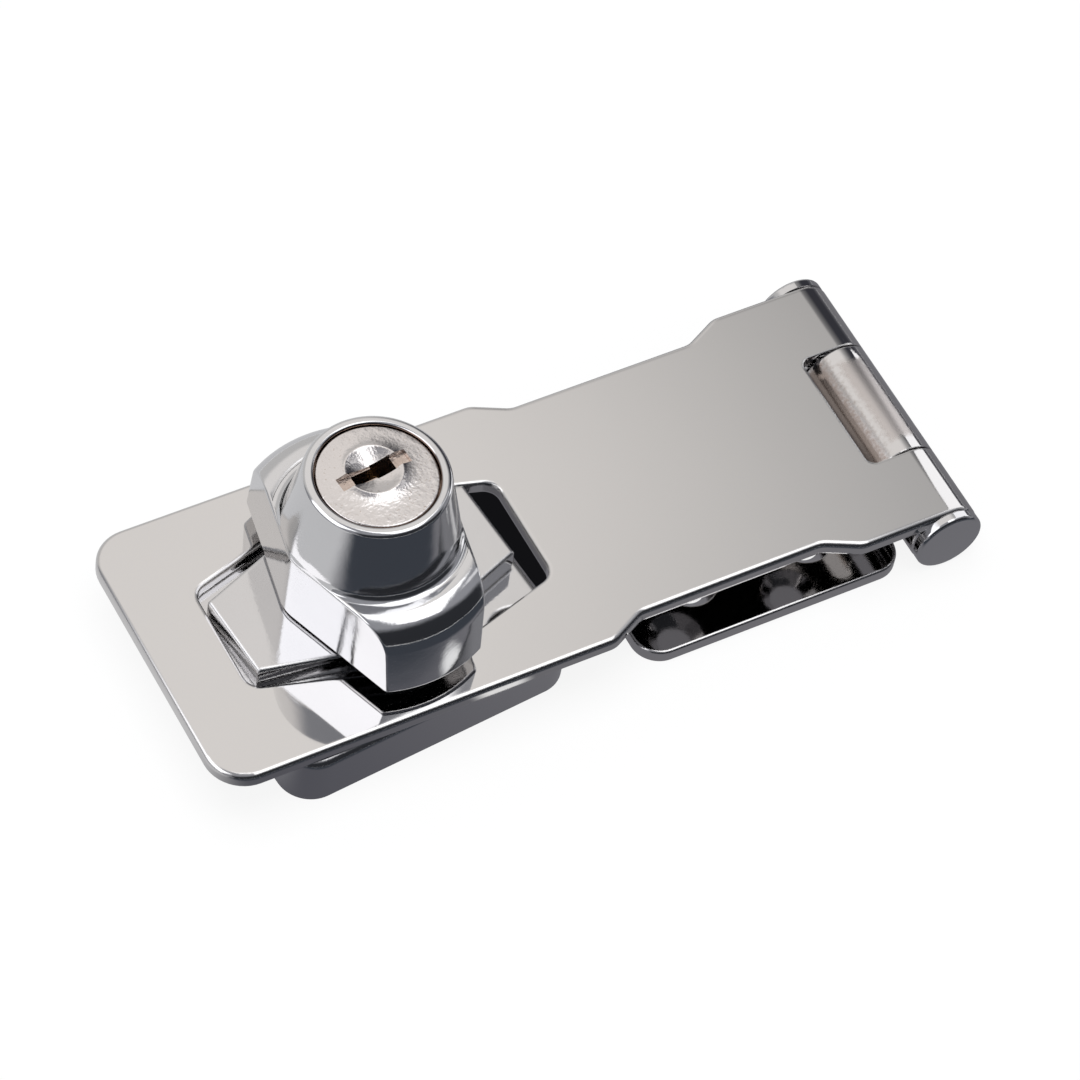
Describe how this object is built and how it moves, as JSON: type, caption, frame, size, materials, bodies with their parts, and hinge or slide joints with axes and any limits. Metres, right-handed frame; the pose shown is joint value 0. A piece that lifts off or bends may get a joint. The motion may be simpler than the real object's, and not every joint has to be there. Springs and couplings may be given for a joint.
{
  "type": "door hasp lock",
  "caption": "Keyed door hasp: a slotted chrome strap hinged on a screw-down leaf and held over a low case by a turn knob with a wafer key lock.",
  "frame": {"origin": "on the mounting plane, midway along and across the hasp", "axes": "+X from the lock end to the hinge, +Z away from the mounting plane, up through the knob"},
  "size_m": [0.1086, 0.0426, 0.0329],
  "materials": {
    "strap_chrome": "mirror",
    "leaf_chrome": "mirror",
    "pin_chrome": "mirror",
    "case_chrome": "polished casting",
    "knob_chrome": "polished casting",
    "plug_chrome": "satin",
    "brass": "stamped",
    "spring_steel": "drawn wire",
    "steel": "zinc plated"
  },
  "bodies": {
    "leaf": {"hinge_leaf": "leaf_chrome"},
    "strap": {"hasp_strap": "strap_chrome", "hinge_pin": "pin_chrome", "pin_cap": "pin_chrome", "lock_case": "case_chrome"},
    "knob": {"turn_knob": "knob_chrome", "retaining_plate": "steel", "plate_screw_1": "steel", "plate_screw_2": "steel"},
    "plug": {"key_plug": "plug_chrome", "wafer_1": "brass", "wafer_2": "brass", "wafer_3": "brass", "wafer_4": "brass", "wafer_5": "brass", "wafer_spring_1": "spring_steel", "wafer_spring_2": "spring_steel", "wafer_spring_3": "spring_steel", "wafer_spring_4": "spring_steel", "wafer_spring_5": "spring_steel", "plug_keeper": "brass"},
    "bolt": {"locking_bolt": "steel"}
  },
  "joints": [
    {"name": "strap_swing", "type": "hinge", "parent": "leaf", "child": "strap", "pos_m": [0.0495, 0, 0.0048], "axis": [0, 1, 0], "range_deg": [0, 180]},
    {"name": "knob_turn", "type": "hinge", "parent": "strap", "child": "knob", "pos_m": [-0.02525, 0.0003, 0.01185], "axis": [0, 0, 1], "range_deg": [0, 90]},
    {"name": "key_turn", "type": "hinge", "parent": "knob", "child": "plug", "pos_m": [-0.02525, 0.0003, 0.0323], "axis": [0, 0, 1], "range_deg": [0, 90]},
    {"name": "bolt_slide", "type": "slide", "parent": "knob", "child": "bolt", "axis": [0.9962, 0.0872, 0], "range_m": [0, 0.00283]}
  ],
  "couplings": [
    {"joint": "bolt_slide", "follows": "key_turn", "m_per_rad": 0.0018}
  ]
}
